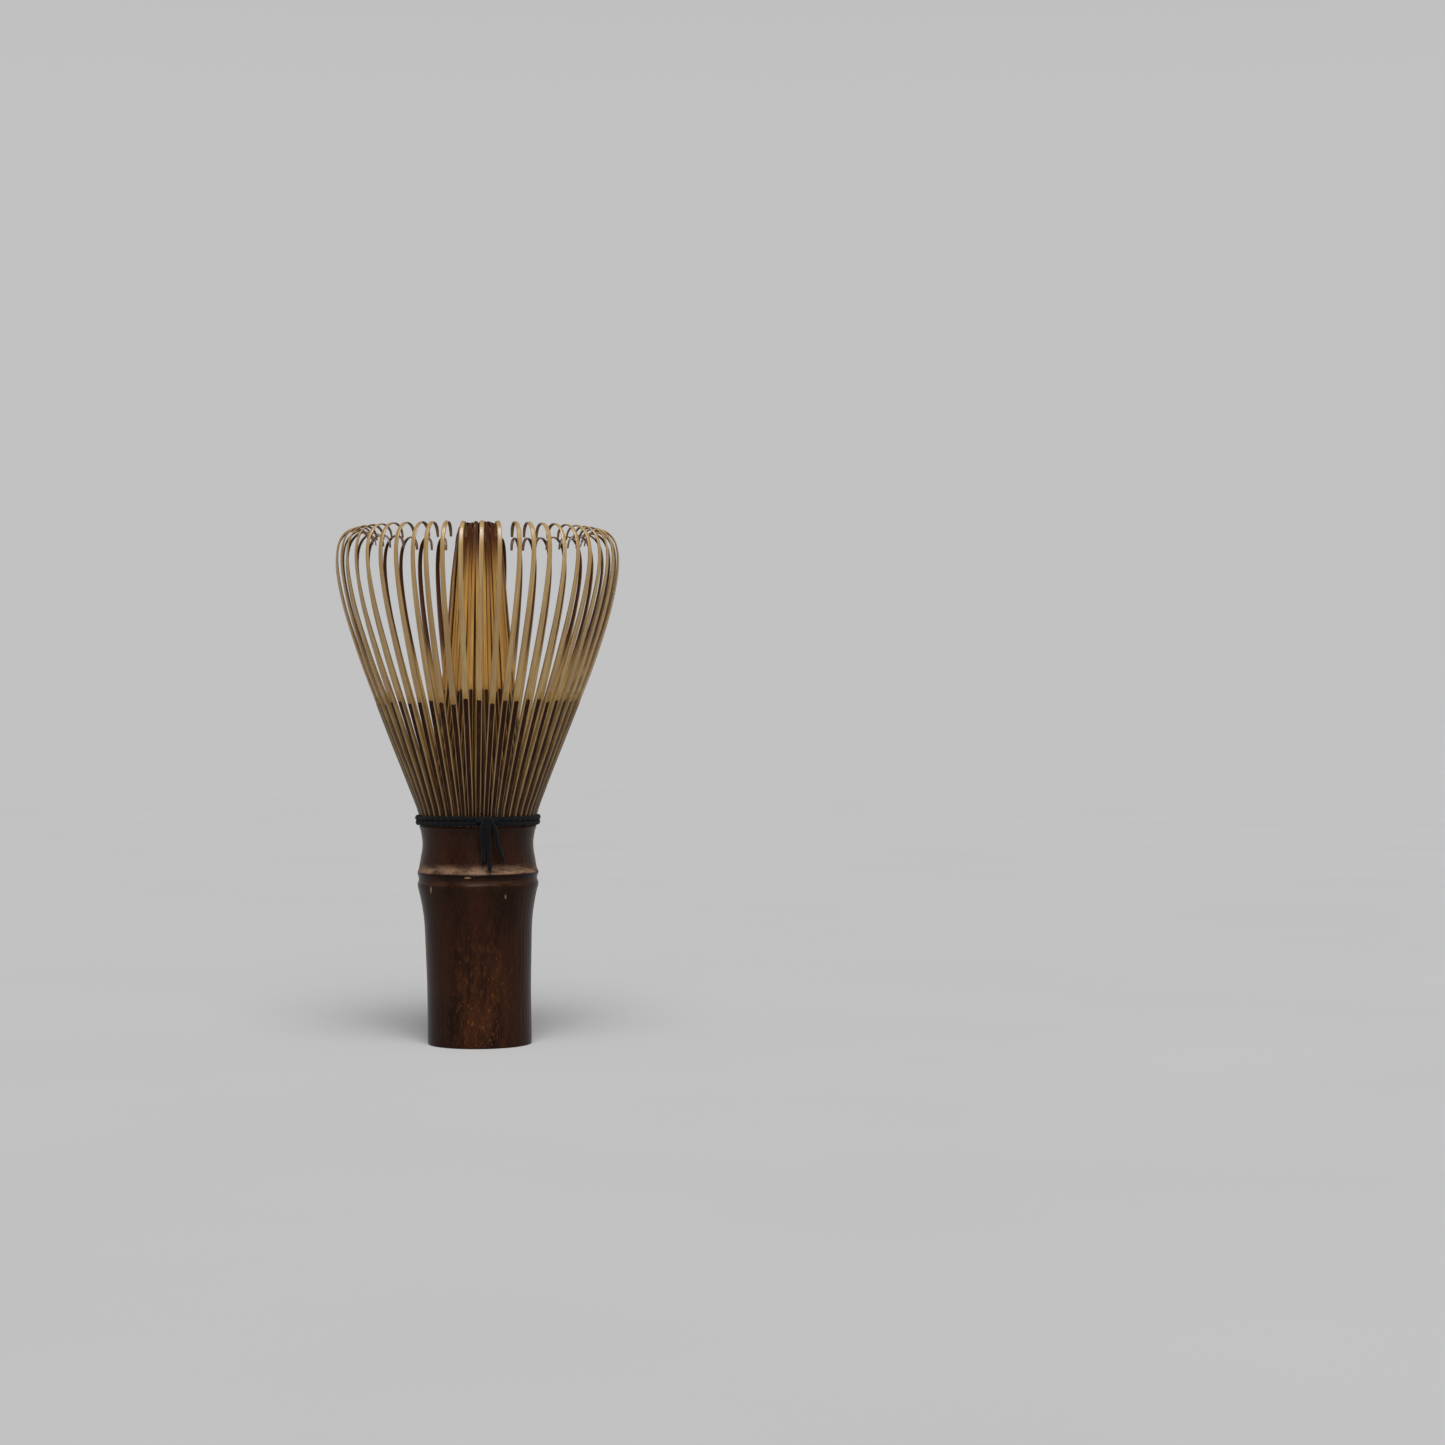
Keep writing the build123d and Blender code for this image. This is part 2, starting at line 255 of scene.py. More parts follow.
def darker_upper_end(m):
    """The bundle's upper end darkens to a dark reddish brown."""
    nt = m.node_tree
    b = next(n for n in nt.nodes if n.type == "BSDF_PRINCIPLED")
    k = Mat.__new__(Mat)
    k.m, k.nt, k.b = m, nt, b
    was = b.inputs["Base Color"].links[0].from_socket
    inner, z, rnd = k.split(k.attr("face"))
    streak = k.noise(k.scaled(k.attr("strip"), (6.0, 0.12, 3.3)), 1.0, 3.0, 0.6)
    at = k.math("ADD", z, k.math("MULTIPLY", k.math("SUBTRACT", streak, 0.5), 9.0))
    at = k.math("ADD", at, k.math("MULTIPLY", k.math("SUBTRACT", rnd, 0.5), 4.0))
    c = k.mix(k.ramp(at, 101.0, 112.5, 0.0, 0.93), was, k.mix(k.ramp(streak, 0.4, 0.7), rgb(58, 25, 8), rgb(84, 44, 18)))
    nt.links.new(c, b.inputs["Base Color"])
    return m


# here rgb(70, 34, 14) is painted shade for the upper inner faces, and rgb(96, 66, 34) the lower half's colour, partly
# painted shade
inner_flesh = flesh_material("inner_split_bamboo", HONEY, HONEY_DARK, HONEY_PALE, rgb(96, 66, 34), 79.6, rgb(70, 34, 14), (82.0, 96.0), TIP_BROWN, INNER_LEN, gloss=(0.14, 0.0))
inner_skin = flesh_material("inner_tine_skin", HONEY, HONEY_DARK, HONEY_PALE, HONEY, 30.0, rgb(70, 34, 14), (82.0, 96.0), TIP_BROWN, INNER_LEN, (SKIN, SKIN_LIGHT), 30.4, gloss=(0.14, 0.0))

darker_upper_end(inner_flesh), darker_upper_end(inner_skin)


def handle_material():
    k = Mat("dark_bamboo_skin")
    co = k.n("ShaderNodeTexCoord").outputs["Object"]
    mm = k.scaled(co, (1000, 1000, 1000))
    x, y, z = k.split(mm)
    # fine lengthwise grain of the skin
    grain = k.noise(k.scaled(mm, (3.4, 3.4, 0.12)), 1.0, 4.0, 0.65)
    grain2 = k.noise(k.scaled(mm, (9.0, 9.0, 0.5)), 1.0, 2.0, 0.5)
    clouds = k.noise(k.scaled(mm, (0.16, 0.16, 0.05)), 1.0, 3.0, 0.5)
    c = k.mix(k.ramp(clouds, 0.35, 0.70), rgb(22, 8, 3), rgb(42, 19, 8))
    c = k.mix(k.ramp(grain, 0.45, 0.75, 0.0, 0.38), c, rgb(62, 34, 18))
    c = k.mix(k.ramp(grain2, 0.55, 0.85, 0.0, 0.3), c, rgb(12, 5, 3))
    # orange brown speckles and streaks, most of them low on the front
    speck = k.noise(k.scaled(mm, (1.1, 1.1, 0.42)), 1.0, 5.0, 0.70, 0.4)
    speck2 = k.noise(k.scaled(mm, (2.4, 2.4, 0.8), (5, 3, 8)), 1.0, 3.0, 0.6, 0.2)
    front = k.math("MULTIPLY", k.ramp(y, -13.5, -3.0, 1.0, 0.22), k.ramp(k.math("ABSOLUTE", k.math("SUBTRACT", x, 1.4)), 2.0, 8.5, 1.0, 0.30))
    low = k.math("MULTIPLY", k.ramp(z, 14.0, 32.0, 1.0, 0.10), front)
    glow = k.noise(k.scaled(mm, (0.35, 0.35, 0.10), (1, 4, 2)), 1.0, 3.0, 0.6)
    c = k.mix(k.math("MULTIPLY", k.ramp(glow, 0.38, 0.62), k.math("MULTIPLY", low, 0.65)), c, rgb(64, 34, 15))
    c = k.mix(k.math("MULTIPLY", k.ramp(speck, 0.50, 0.72), k.math("MULTIPLY", low, 0.60)), c, rgb(98, 58, 26))
    c = k.mix(k.math("MULTIPLY", k.ramp(speck2, 0.60, 0.76), k.math("MULTIPLY", low, 0.60)), c, rgb(150, 98, 50))
    # warmer, browner neck
    neck = k.math("MULTIPLY", k.ramp(z, 39.0, 41.5), k.ramp(z, 48.6, 50.0, 1.0, 0.5))
    c = k.mix(k.math("MULTIPLY", neck, k.ramp(grain, 0.3, 0.7, 0.15, 0.55)), c, rgb(54, 30, 19))
    # pale powder above the upper ridge, in patches, and the strip between the ridges
    dust = k.noise(k.scaled(mm, (0.30, 0.30, 0.9), (2, 7, 1)), 1.0, 3.0, 0.6)
    fine = k.noise(k.scaled(mm, (2.2, 2.2, 1.4), (6, 1, 3)), 1.0, 3.0, 0.6)
    powder = k.math("MULTIPLY", k.ramp(z, 38.60, 38.95), k.ramp(k.math("ADD", z, k.math("MULTIPLY", fine, 1.2)), 39.9, 41.9, 1.0, 0.0))
    c = k.mix(k.math("MULTIPLY", powder, k.math("MULTIPLY", k.ramp(dust, 0.34, 0.62, 0.25, 1.0), k.ramp(fine, 0.30, 0.62, 0.55, 0.95))), c, rgb(138, 108, 86))
    strip = k.math("MULTIPLY", k.ramp(z, 35.9, 36.4), k.ramp(z, 37.0, 37.5, 1.0, 0.0))
    c = k.mix(k.math("MULTIPLY", strip, k.ramp(dust, 0.34, 0.62, 0.10, 0.65)), c, rgb(64, 44, 32))
    # a near-black band along the lower flank of the upper ridge
    upper_ridge_dark_band = k.math("MULTIPLY", k.ramp(z, 37.7, 38.1), k.ramp(z, 38.45, 38.75, 1.0, 0.0))
    c = k.mix(k.math("MULTIPLY", upper_ridge_dark_band, 0.75), c, rgb(13, 6, 4))
    # small nicks
    for nx, nz, wx, wz, much in ((-1.1, 38.05, 0.85, 0.20, 0.75), (-9.6, 35.2, 0.22, 0.75, 0.6), (7.1, 33.7, 0.20, 0.55, 0.35)):
        dx = k.math("DIVIDE", k.math("SUBTRACT", x, nx), wx)
        dz = k.math("DIVIDE", k.math("SUBTRACT", z, nz), wz)
        d = k.math("ADD", k.math("MULTIPLY", dx, dx), k.math("MULTIPLY", dz, dz))
        d = k.math("ADD", d, k.math("MULTIPLY", k.math("SUBTRACT", fine, 0.5), 3.0))
        near = k.math("MULTIPLY", k.ramp(d, 0.2, 1.3, 1.0, 0.0), k.ramp(y, -6.0, -4.0, 1.0, 0.0))
        c = k.mix(k.math("MULTIPLY", near, much), c, rgb(176, 142, 108))
    rough = k.ramp(grain, 0.3, 0.8, 0.26, 0.38, False)
    rough = k.math("ADD", rough, k.math("MULTIPLY", powder, 0.35))
    h = k.math("ADD", k.math("MULTIPLY", grain, 0.7), k.math("MULTIPLY", grain2, 0.3))
    normal = k.bump(h, 0.25, 0.00008)
    return k.finish(c, rough, normal, spec=0.09, coat=0.03, coat_rough=0.15)


def cut_material(name, base, dark, dots=True):
    """End grain and the inside of the culm."""
    k = Mat(name)
    co = k.n("ShaderNodeTexCoord").outputs["Object"]
    mm = k.scaled(co, (1000, 1000, 1000))
    x, y, z = k.split(mm)
    n1 = k.noise(k.scaled(mm, (1.2, 1.2, 0.15)), 1.0, 4.0, 0.6)
    v = k.n("ShaderNodeTexVoronoi"); v.inputs["Scale"].default_value = 1.0; k.put(v.inputs["Vector"], k.scaled(mm, (2.6, 2.6, 0.25)))
    c = k.mix(k.ramp(n1, 0.3, 0.7), dark, base)
    c = k.mix(k.ramp(v.outputs["Distance"], 0.12, 0.32, 0.75, 0.0), c, rgb(70, 42, 24))
    normal = k.bump(k.math("ADD", n1, v.outputs["Distance"]), 0.4, 0.0001)
    return k.finish(c, k.ramp(n1, 0.3, 0.7, 0.62, 0.78, False), normal, spec=0.3)


def thread_material():
    k = Mat("black_cotton")
    strand = k.attr("strip")
    a = k.noise(k.scaled(strand, (6.0, 6.0, 3.0)), 1.0, 3.0, 0.6)
    f = k.noise(k.scaled(strand, (2.2, 14.0, 1.0)), 1.0, 3.0, 0.6)
    c = k.mix(k.ramp(a, 0.3, 0.7), rgb(8, 9, 12), rgb(17, 18, 23))
    c = k.mix(k.ramp(f, 0.60, 0.80, 0.0, 0.4), c, rgb(40, 44, 54))
    normal = k.bump(k.math("ADD", a, f), 0.6, 0.00008)
    return k.finish(c, k.ramp(a, 0.3, 0.7, 0.82, 0.94, False), normal, spec=0.12, sheen=0.06, sheen_rough=0.45)


dark_skin = handle_material()
end_grain = cut_material("culm_end_grain", rgb(150, 108, 66), rgb(104, 68, 38))
culm_inside = cut_material("culm_inside", rgb(120, 84, 50), rgb(78, 50, 28))
cotton = thread_material()

# ------------------------------------------------------------------ handle: lathed culm with uneven ridges
PROFILE = [(11.25, 0.0), (11.42, 0.06), (11.56, 0.22), (11.6, 0.5), (11.6, 5), (11.62, 14), (11.85, 22), (12.2, 29), (12.75, 32.5), (13.12, 34.2), (13.38, 35.2),
           (13.50, 35.85), (13.46, 36.35), (13.30, 36.85), (13.24, 37.25), (13.30, 37.7), (13.44, 38.15), (13.55, 38.5), (13.50, 38.75), (13.30, 39.25), (13.06, 40.2), (12.78, 41.9), (12.45, 43.9),
           (12.42, 45.9), (12.65, 47.4), (12.98, 48.6), (13.10, 49.1), (13.02, 49.2)]


def lathe_handle():
    s = chord(PROFILE)
    at = np.unique(np.concatenate([np.linspace(s[0], s[-1], 110), np.linspace(s[9], s[20], 90), s]))
    # the spline, read by chord length and sampled densely over the ridges, keeps the crisp ridges and the long curves
    rr, zz = cubic(s, [p[0] for p in PROFILE], at), cubic(s, [p[1] for p in PROFILE], at)
    zz = np.clip(zz, 0.0, 49.2)
    N = 240
    th = np.arange(N) / N * 2 * math.pi
    verts, attrs = [], []
    wob = lambda t, a, k, p: a * np.sin(k * t + p)
    oval = 1 + 0.006 * np.cos(2 * th - 0.7)
    lift = wob(th, 0.14, 1, 0.6) + wob(th, 0.08, 2, 2.1) + wob(th, 0.04, 5, 1.0)
    crest = 1 + 0.18 * np.sin(3 * th + 0.5) + 0.12 * np.sin(7 * th + 2.0)
    grain = 0.018 * np.sin(61 * th + 3 * np.sin(5 * th)) + 0.012 * np.sin(97 * th + 1.3)
    for r, z in zip(rr, zz):
        near = math.exp(-((z - 37.2) / 2.6) ** 2)
        fade = min(1.0, z / 1.5) * min(1.0, (49.3 - z) / 1.5)
        base_r = 13.24 if 34.5 < z < 40 else r
        ridge = max(0.0, r - 13.24) * (crest - 1) * near
        R = (r + ridge + grain * fade * (1 - near)) * oval
        zz_ = z + lift * near
        shift = 0.45 * (1 - min(z, 34.0) / 34.0)       # the culm bends a little below its node
        verts += list(zip(R * np.cos(th) + shift, R * np.sin(th), np.full(N, 0.0) + zz_))
    rows = len(rr)
    inner = [(10.35, 49.2), (10.35, 44.0), (10.3, 40.2), (9.4, 38.8), (9.02, 38.3), (9.0, 30.0), (9.02, 18.0), (9.0, 6.0), (9.02, 0.6), (9.12, 0.18), (9.3, 0.0)]
    for r, z in inner:
        bump = 0.05 * np.sin(23 * th + z) + 0.04 * np.sin(41 * th + 2 * z)
        R = (r + (bump if 0.7 < z < 49 else 0)) * np.ones(N)
        shift = 0.45 * (1 - min(z, 34.0) / 34.0)
        verts += list(zip(R * np.cos(th) + shift, R * np.sin(th), np.full(N, z)))
    total = rows + len(inner)
    faces, mat = [], []
    for i in range(total):
        j = (i + 1) % total
        m = 0 if i < rows - 1 else 1 if i == rows - 1 or i == total - 1 else 2
        if i < 3:
            m = 1 if i < 1 else 0
        a, b = i * N, j * N
        for q in range(N):
            p = (q + 1) % N
            faces.append((a + q, a + p, b + p, b + q)); mat.append(m)
    verts = np.array(verts) * MM
    sharp = []
    for row in (0, rows - 1, rows, total - 1):
        sharp += [(row * N + q, row * N + (q + 1) % N) for q in range(N)]
    o = new_mesh("culm_handle", verts, faces, [dark_skin, end_grain, culm_inside], mat, sharp=sharp)
    return o


handle = lathe_handle()
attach(handle, "whisk_base"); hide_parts("handle")
for slot in frame["nodes"]["node_diaphragm"].material_slots:
    slot.material = culm_inside


# ------------------------------------------------------------------ tines
def strip_mesh(skin, widths, thick, n, azimuth, lean, sideways, pivot, edge, step, bevels, stations, extra=None, crown=0.02, seed=0):
    """Vertices, faces, face materials and attributes of one tine, in metres, standing at its azimuth."""
    s0 = chord(skin)
    L = s0[-1]
    # denser near the cut and the hook
    at = np.unique(np.concatenate([np.linspace(0, L, stations), np.linspace(L - 14, L, stations // 2), edge + np.array([-0.5, -0.25, -0.08, 0.08, 0.25, 0.5])]))
    r, z = cubic(s0, [p[0] for p in skin], at), cubic(s0, [p[1] for p in skin], at)
    w, d = np.interp(at, s0, widths), np.interp(at, s0, thick)
    tr, tz = np.gradient(r, at), np.gradient(z, at)
    l = np.hypot(tr, tz); tr, tz = tr / l, tz / l
    nr, nz = tz, -tr                       # out through the skin
    y = sideways * (at / L) ** 1.6
    roll = np.zeros_like(at)
    if extra:
        dr, dy, dz, roll = extra(at / L)
        r, y, z = r + dr, y + dy, z + dz
    P = []
    below = 1 - 1 / (1 + np.exp(-(at - edge) / 0.06))
    for i in range(len(at)):
        half, dd = w[i] / 2, d[i]
        bw, bd = (bevels[0] * below[i] + bevels[1] * (1 - below[i])), (bevels[2] * below[i] + bevels[3] * (1 - below[i]))
        bw = min(bw, half * 0.55)
        top = -step * (1 - below[i])
        sec = [(-(half - bw), top), (0, top + crown), (half - bw, top), (half, top - bd), (half * 0.97, -dd + 0.05), (half * 0.97 - 0.05, -dd), (0, -dd - 0.015),
               (-half * 0.97 + 0.05, -dd), (-half * 0.97, -dd + 0.05), (-half, top - bd)]
        cr, sr = math.cos(roll[i]), math.sin(roll[i])
        for a, h in sec:
            a2, h2 = a * cr - h * sr, a * sr + h * cr
            P.append((r[i] + nr[i] * h2, y[i] + a2, z[i] + nz[i] * h2))
    P = np.array(P)
    K = 10
    # lean the tine about its pivot; the width table tapers the very end, and both ends are capped below
    th = math.radians(lean)
    x0, z0 = P[:, 0] - pivot, P[:, 2] - HINGE_Z
    P[:, 0], P[:, 2] = pivot + x0 * math.cos(th) + z0 * math.sin(th), HINGE_Z + z0 * math.cos(th) - x0 * math.sin(th)
    z_mm = P[:, 2].copy()
    a = math.radians(azimuth)
    X = P[:, 0] * math.cos(a) - P[:, 1] * math.sin(a)
    Y = P[:, 0] * math.sin(a) + P[:, 1] * math.cos(a)
    V = np.stack([X, Y, P[:, 2]], 1) * MM
    faces, mats, sharp = [], [], []
    M = len(at)
    kinds = [0, 0, 1, 1, 2, 2, 2, 2, 1, 1]
    for i in range(M - 1):
        for q in range(K):
            p = (q + 1) % K
            shaved = kinds[q] == 0 and at[i] > edge + 1.2
            faces.append((i * K + q, i * K + p, (i + 1) * K + p, (i + 1) * K + q)); mats.append(1 if shaved else kinds[q])
        for q in (0, 2, 3, 9):
            sharp.append((i * K + q, (i + 1) * K + q))
    for base, flip in ((0, True), ((M - 1) * K, False)):
        ring = [base + q for q in range(K)]
        faces.append(tuple(ring[::-1] if flip else ring)); mats.append(1)
        sharp += [(ring[q], ring[(q + 1) % K]) for q in range(K)]
    across = np.tile(np.array([-0.35, 0, 0.35, 0.6, 0.62, 0.5, 0.0, -0.5, -0.62, -0.6]), M)
    strip = np.stack([across + 3.7 * uneven(n, 21), np.repeat(at, K), np.full(M * K, n * 1.37 + seed)], 1)
    inner = np.tile(np.array([0, 0, 0, 0.5, 0.8, 1, 1, 1, 0.8, 0.5]) if seed else np.array([0, 0, 0, 0, 0.75, 1, 1, 1, 0.75, 0]), M)
    face = np.stack([inner, z_mm, np.full(M * K, 0.5 + 0.5 * uneven(n, 22 + seed))], 1)
    return V, faces, mats, strip, face, sharp


def az_of(body):
    x, y, _ = joints[body]["pos_m"]
    return math.degrees(math.atan2(y, x))


for n in range(48):
    node = "outer_tine_%02d" % (n + 1)
    az = az_of(node)
    curl = 0.5 + 0.5 * uneven(n, 31)
    kink = 0.25 * uneven(n, 32)

    def extra(t, n=n, curl=curl, kink=kink):
        """Small bends that hand-split bamboo keeps."""
        bend = 0.22 * np.sin(math.pi * t) * uneven(n, 33) + 0.10 * np.sin(3 * math.pi * t) * uneven(n, 34)
        side = 0.12 * np.sin(2 * math.pi * t) * uneven(n, 35) + 0.2 * kink * np.sin(math.pi * t)
        drop = np.zeros_like(t)
        roll = 0.22 * uneven(n, 36) * t ** 2
        return bend * (t > 0.03), side * (t > 0.03), drop, roll

    V, F, M, strip, face, sharp = strip_mesh(OUTER_SKIN, OUTER_WIDTH, OUTER_THICK, n, az, 0.35 * uneven(n, 2), OUTER_SIDEWAYS[n], 12.7,
                                             EDGE + 0.7 * uneven(n, 22) * -1.0, 0.07, (0.19, 0.15, 0.16, 0.13), 64, extra)
    o = new_mesh("tine_outer_%02d" % (n + 1), V, F, [outer_skin, flesh, flesh_inside], M, attrs={"strip": strip, "face": face}, sharp=sharp)
    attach(o, node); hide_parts(node)

# inner bundle: four quarters, each tine a little different, their tips hooked over each other
for which, q in enumerate(("front", "right", "back", "left")):
    allV, allF, allM, allS, allA, allE, off = [], [], [], [], [], [], 0
    for n in range(12 * which, 12 * which + 12):
        az = INNER_START + 7.5 * n
        u1, u2, u3, u4 = (uneven(n, k) for k in (41, 42, 43, 44))
        # the CAD tine's line to just below the tip, then a hook of this tine's own
        top = 117.25 + 0.5 * u1
        tail = [(5.20 + 0.2 * u2, 112.6), (4.80 + 0.25 * u2, 115.0), (4.00 + 0.3 * u2, top - 0.55), (2.7 + 0.4 * u2, top), (1.0 + 0.5 * u3, top - 0.5), (-0.6 + 0.8 * u3, top - 1.9 + 0.8 * u4)]
        line = INNER_SKIN[:10] + tail
        W = [w * (1.0 + 0.10 * u3) for w in INNER_WIDTH[:10]] + [0.70, 0.72, 0.72, 0.68, 0.60, 0.40]
        T = INNER_THICK[:10] + [0.34, 0.32, 0.30, 0.28, 0.25, 0.20]

        def extra(t, n=n, u1=u1, u2=u2, u3=u3, u4=u4):
            rise = t ** 1.5
            bend = 0.30 * u1 * np.sin(math.pi * t) * np.clip((t - 0.1) * 4, 0, 1) + 0.15 * u3 * rise
            side = (0.30 * u2 * rise + 0.18 * u4 * np.sin(math.pi * t) ** 2 + 0.08 * np.sin(2 * math.pi * t + u3 * 3)) * np.clip((t - 0.05) * 5, 0, 1)
            roll = 0.35 * u4 * t
            return bend, side, np.zeros_like(t), roll

        V, F, M, strip, face, sharp = strip_mesh(line, W, T, n, az, 0.12 * uneven(n, 4), 0.03 * uneven(n, 3), 11.6,
                                                 30.4 - 0.7 * uneven(n, 25), 0.05, (0.10, 0.06, 0.10, 0.06), 56, extra, crown=0.03, seed=3)
        allV.append(V); allF += [tuple(i + off for i in f) for f in F]; allM += M; allS.append(strip); allA.append(face)
        allE += [(a + off, b + off) for a, b in sharp]; off += len(V)
    o = new_mesh("bundle_" + q, np.concatenate(allV), allF, [inner_skin, inner_flesh, inner_flesh], allM,
                 attrs={"strip": np.concatenate(allS), "face": np.concatenate(allA)}, sharp=allE)
    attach(o, "inner_tines_" + q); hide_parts("inner_tines_" + q)


# ------------------------------------------------------------------ thread
def cord_tube(points, radius, closed, pitch=2.0, lobes=3, depth=0.16, ring=18, taper=None, phase=0.0):
    """A plied thread along the points (mm): a tube whose section has one lobe for each ply and turns along it."""
    P = np.asarray(points, float)
    if closed:
        T = np.roll(P, -1, 0) - np.roll(P, 1, 0)
        step = np.linalg.norm(np.roll(P, -1, 0) - P, axis=1)
        s = np.concatenate([[0], np.cumsum(step)[:-1]]); total = step.sum()
        turns = round(total / pitch)
    else:
        T = np.gradient(P, axis=0)
        s = chord(P); total = s[-1]; turns = total / pitch
    T /= np.linalg.norm(T, axis=1)[:, None]
    ref = np.array([0.0, 0.0, 1.0]) if closed else np.array([1.0, 0.0, 0.0])
    A = ref - T * (T @ ref)[:, None]; A /= np.linalg.norm(A, axis=1)[:, None]
    B = np.cross(T, A)
    ph = np.arange(ring) / ring * 2 * math.pi
    V, S = [], []
    for i in range(len(P)):
        turn = 2 * math.pi * turns * s[i] / total + phase
        rad = radius * (taper(s[i] / total) if taper else 1.0) * (1 - depth + depth * np.abs(np.cos(lobes / 2 * (ph - turn))) ** 0.7 * 1.6)
        V.append(P[i] + np.cos(ph)[:, None] * rad[:, None] * A[i] + np.sin(ph)[:, None] * rad[:, None] * B[i])
        S.append(np.stack([(ph - turn) / (2 * math.pi) * 3, np.full(ring, s[i]), ph], 1))
    V, S = np.concatenate(V), np.concatenate(S)
    n = len(P)
    F = []
    for i in range(n if closed else n - 1):
        j = (i + 1) % n
        for q in range(ring):
            p = (q + 1) % ring
            F.append((i * ring + q, j * ring + q, j * ring + p, i * ring + p))
    if not closed:
        F.append(tuple(range(ring))[::1]); F.append(tuple((n - 1) * ring + q for q in range(ring))[::-1])
    return V, F, S


def join(parts):
    V, F, S, off = [], [], [], 0
    for v, f, s in parts:
        V.append(v); S.append(s); F += [tuple(i + off for i in x) for x in f]; off += len(v)
    return np.concatenate(V), F, np.concatenate(S)


outer_az = np.radians([az_of("outer_tine_%02d" % (n + 1)) for n in range(48)])


def weave(R, z, amp, zamp, radius, sign, samples=1500, phase=0.0):
    """One row: it bulges over every tine and dips between them."""
    th = np.arange(samples) / samples * 2 * math.pi
    order = np.sort(np.mod(outer_az, 2 * math.pi))
    k = np.interp(th, np.concatenate([[order[-1] - 2 * math.pi], order, [order[0] + 2 * math.pi]]), np.arange(-1, 49))
    r = R + amp * np.cos(2 * math.pi * k)
    zz = z + sign * zamp * np.cos(2 * math.pi * k + 0.6) + 0.05 * np.sin(3 * th + phase) + 0.03 * np.sin(11 * th + 2 * phase)
    return np.stack([r * np.cos(th), r * np.sin(th), zz], 1)


for name, node, rows in (
        ("band_lower", "thread_lower_weave", [weave(13.60, 50.00, 0.05, 0.06, 0.5, 1)]),
        ("band_upper", "thread_upper_weave", [weave(13.70, 51.05, 0.06, 0.07, 0.5, -1, phase=1.0)]),
        ("band_inner", "thread_inner_weave", [weave(12.06, 51.45, -0.02, 0.10, 0.3, 1, phase=2.0), weave(12.06, 52.10, -0.02, 0.12, 0.3, -1, phase=3.0)])):
    rad = 0.30 if node.endswith("inner_weave") else 0.50
    parts = [cord_tube(p, rad, True, pitch=2.1, phase=i * 1.3) for i, p in enumerate(rows)]
    V, F, S = join(parts)
    # pulled tight, the thread lies flattened against the tines
    inside = node.endswith("inner_weave")
    middle, keep = (12.06, 0.5) if inside else (13.62 if node.endswith("lower_weave") else 13.72, 0.70)
    R = np.hypot(V[:, 0], V[:, 1]); f = (middle + (R - middle) * keep) / R
    V[:, 0] *= f; V[:, 1] *= f
    o = new_mesh(name, V * MM, F, [cotton], attrs={"strip": S})
    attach(o, "whisk_base"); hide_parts(node)


def smooth_path(points, count):
    s = chord(points)
    at = np.linspace(0, s[-1], count)
    return np.stack([cubic(s, [p[k] for p in points], at) for k in range(3)], 1)


# the knot: the thread's end tied over itself
KNOT = np.array([3.35, -14.62, 50.75])
t = np.linspace(0, 2 * math.pi, 220, endpoint=False)
loop = np.stack([0.27 * (np.sin(t) + 2 * np.sin(2 * t)), -0.22 * np.sin(3 * t), 0.27 * (np.cos(t) - 2 * np.cos(2 * t))], 1)
parts = [cord_tube(KNOT + loop, 0.42, True, pitch=2.0)]
parts.append(cord_tube(smooth_path([KNOT + v for v in ((-2.3, 0.45, -0.2), (-1.3, 0.15, 0.0), (-0.4, -0.25, 0.2), (0.5, -0.15, 0.1), (1.3, 0.5, -0.05), (2.1, 1.15, 0.0))], 60), 0.42, False, pitch=2.0))
V, F, S = join(parts)
o = new_mesh("knot", V * MM, F, [cotton], attrs={"strip": S})
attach(o, "whisk_base"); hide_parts("thread_knot")


def frayed(points, radius, seed, count=90):
    """A strand with a cut end whose plies and fibres spread a little."""
    r = np.random.default_rng(seed)
    path = smooth_path(points, count)
    out = [cord_tube(path, radius, False, pitch=2.2, taper=lambda u: 1.0 - 0.10 * u - (0.25 * max(0, (u - 0.94) / 0.06)))]
    end, way = path[-1], path[-1] - path[-8]
    way /= np.linalg.norm(way)
    for i in range(11):
        side = r.normal(size=3); side -= way * (side @ way); side /= np.linalg.norm(side)
        a = end + side * radius * 0.55 - way * 0.25
        length = 0.45 + 0.5 * r.random()
        pts = [a, a + way * length * 0.5 + side * 0.06, a + way * length + side * (0.08 + 0.22 * r.random())]
        out.append(cord_tube(smooth_path(pts, 8), 0.065 + 0.03 * r.random(), False, pitch=3.0, ring=6, taper=lambda u: 1 - 0.6 * u))
    return out


left = frayed([(2.75, -14.75, 50.7), (2.42, -14.84, 49.4), (2.32, -14.37, 46.6), (2.42, -14.05, 43.9), (2.40, -14.0, 41.5)], 0.54, 5)
left += frayed([(3.45, -14.85, 50.6), (3.56, -14.92, 49.4), (3.64, -14.40, 46.2), (3.82, -14.02, 42.9), (3.86, -13.95, 39.9)], 0.55, 6)
right = frayed([(4.0, -14.6, 50.7), (4.82, -14.62, 49.6), (5.32, -14.06, 47.0), (6.06, -13.55, 44.2), (6.92, -13.2, 41.7)], 0.47, 7)
for name, node, parts in (("tails_left", "thread_tail_left", left), ("tail_right", "thread_tail_right", right)):
    V, F, S = join(parts)
    o = new_mesh(name, V * MM, F, [cotton], attrs={"strip": S})
    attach(o, "whisk_base"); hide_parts(node)

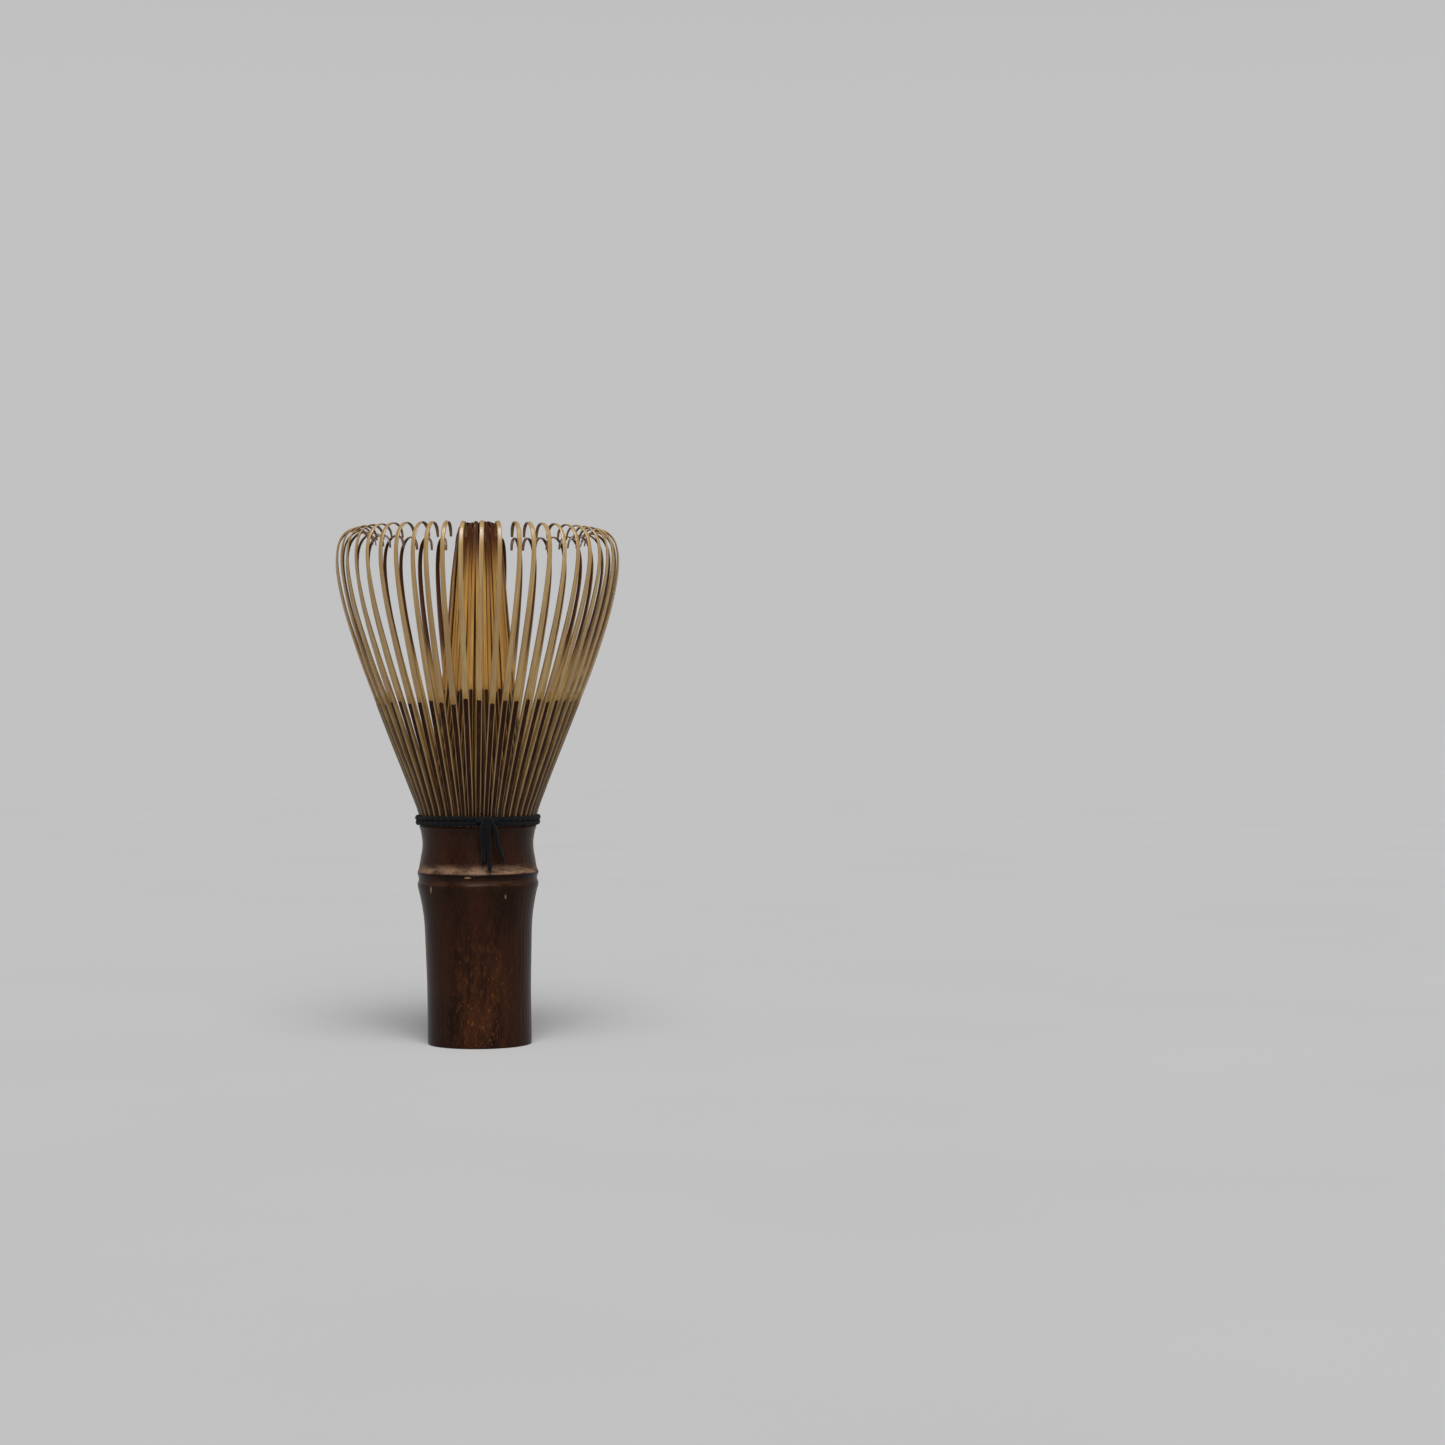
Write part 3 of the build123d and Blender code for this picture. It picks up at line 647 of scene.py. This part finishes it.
# ------------------------------------------------------------------ stage, light and camera
k = Mat("pale_floor")
co = k.n("ShaderNodeTexCoord").outputs["Object"]
k.finish(k.mix(k.noise(k.scaled(co, (9, 9, 9)), 1.0, 2.0), (0.49, 0.49, 0.50, 1), (0.52, 0.52, 0.53, 1)), 1.0, spec=0.0)
me = bpy.data.meshes.new("floor")
R = 60.0
ring = [(R * math.cos(i * math.pi / 32), R * math.sin(i * math.pi / 32), 0) for i in range(64)]
me.from_pydata([(0, 0, 0)] + ring, [], [(0, i + 1, (i + 1) % 64 + 1) for i in range(64)])
me.materials.append(k.m)
floor = bpy.data.objects.new("floor", me)
bpy.context.scene.collection.objects.link(floor)

world = bpy.data.worlds.new("studio")
bpy.context.scene.world = world
world.use_nodes = True
nt = world.node_tree
# a pale band round the horizon, dimmer overhead and in front of the object
nodes, links = nt.nodes, nt.links
bg = nodes["Background"]
bg.inputs[1].default_value = 1.0
way = nodes.new("ShaderNodeSeparateXYZ")
links.new(nodes.new("ShaderNodeTexCoord").outputs["Generated"], way.inputs[0])


def spread(socket, lo, hi, a, b):
    n = nodes.new("ShaderNodeMapRange")
    n.interpolation_type = "SMOOTHSTEP"
    links.new(socket, n.inputs[0])
    for q, v in enumerate((lo, hi, a, b)):
        n.inputs[1 + q].default_value = v
    return n.outputs[0]


both = nodes.new("ShaderNodeMath"); both.operation = "MULTIPLY"
links.new(spread(way.outputs[1], -0.70, -0.25, 0.0, 1.0), both.inputs[0])
links.new(spread(way.outputs[2], 0.22, 0.60, 1.0, 0.0), both.inputs[1])
every = nodes.new("ShaderNodeMath"); every.operation = "MAXIMUM"
links.new(both.outputs[0], every.inputs[0])
links.new(spread(way.outputs[2], 0.03, 0.16, 1.0, 0.0), every.inputs[1])
tone = nodes.new("ShaderNodeMix"); tone.data_type = "RGBA"
links.new(every.outputs[0], tone.inputs[0])
tone.inputs[6].default_value = (0.140, 0.146, 0.158, 1)
tone.inputs[7].default_value = (0.538, 0.538, 0.539, 1)
links.new(tone.outputs[2], bg.inputs[0])


def aim(o, loc, target):
    o.location = loc
    o.rotation_mode = "QUATERNION"
    o.rotation_quaternion = (Vector(target) - Vector(loc)).to_track_quat("-Z", "Y")
    bpy.context.scene.collection.objects.link(o)


def sun(name, loc, strength, angle, colour):
    light = bpy.data.lights.new(name, "SUN")
    light.energy, light.angle, light.color = strength, math.radians(angle), colour
    aim(bpy.data.objects.new(name, light), loc, (0, 0, 0))


# broad soft light from above and in front
sun("key", (0.12, -0.85, 0.75), 1.35, 34, (1.0, 0.985, 0.96))
sun("top", (0.06, -0.50, 0.95), 2.15, 32, (1.0, 0.985, 0.95))

scene = bpy.context.scene
scene.view_settings.view_transform = "Standard"
cam = bpy.data.cameras.new("camera")
cam.lens, cam.sensor_width = 66.2, 36.0
cam.clip_start, cam.clip_end = 0.01, 50
camera = bpy.data.objects.new("camera", cam)
camera.location = (0.0552, -0.600, 0.0724)
camera.rotation_euler = (math.radians(90), 0, 0)
scene.collection.objects.link(camera)
scene.camera = camera
